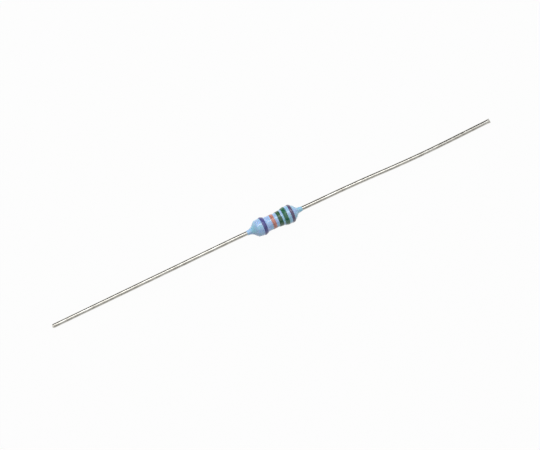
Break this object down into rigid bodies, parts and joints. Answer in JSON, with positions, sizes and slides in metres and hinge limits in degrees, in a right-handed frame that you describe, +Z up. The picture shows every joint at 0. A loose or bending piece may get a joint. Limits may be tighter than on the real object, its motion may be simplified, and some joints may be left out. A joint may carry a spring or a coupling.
{
  "type": "axial resistor",
  "caption": "Small metal-film resistor: a dog-bone body in blue lacquer with painted colour bands, and a straight wire lead out of each end.",
  "frame": {"origin": "on the resting plane, under the middle of the body and midway between the two lead tips", "axes": "+X along the body and the leads, from the violet band's end to the plum band's end; +Z up"},
  "size_m": [0.062, 0.0024, 0.0024],
  "materials": {
    "ceramic": "matt, bare alumina",
    "film": "dark grey sputtered metal",
    "cap": "plain tinned steel",
    "lead": "bright tin over copper",
    "lacquer": "glossy light blue epoxy",
    "paint_violet": "glossy paint",
    "paint_orange_red": "glossy paint",
    "paint_green": "glossy paint",
    "paint_plum": "glossy paint"
  },
  "bodies": {
    "root": {"ceramic_core": "ceramic", "resistive_film": "film", "end_cap_left": "cap", "end_cap_right": "cap", "lead_left": "lead", "lead_right": "lead", "lacquer_coat": "lacquer", "band_1": "paint_violet", "band_2": "paint_orange_red", "band_3": "paint_green", "band_4": "paint_green", "band_5": "paint_plum"}
  },
  "joints": []
}
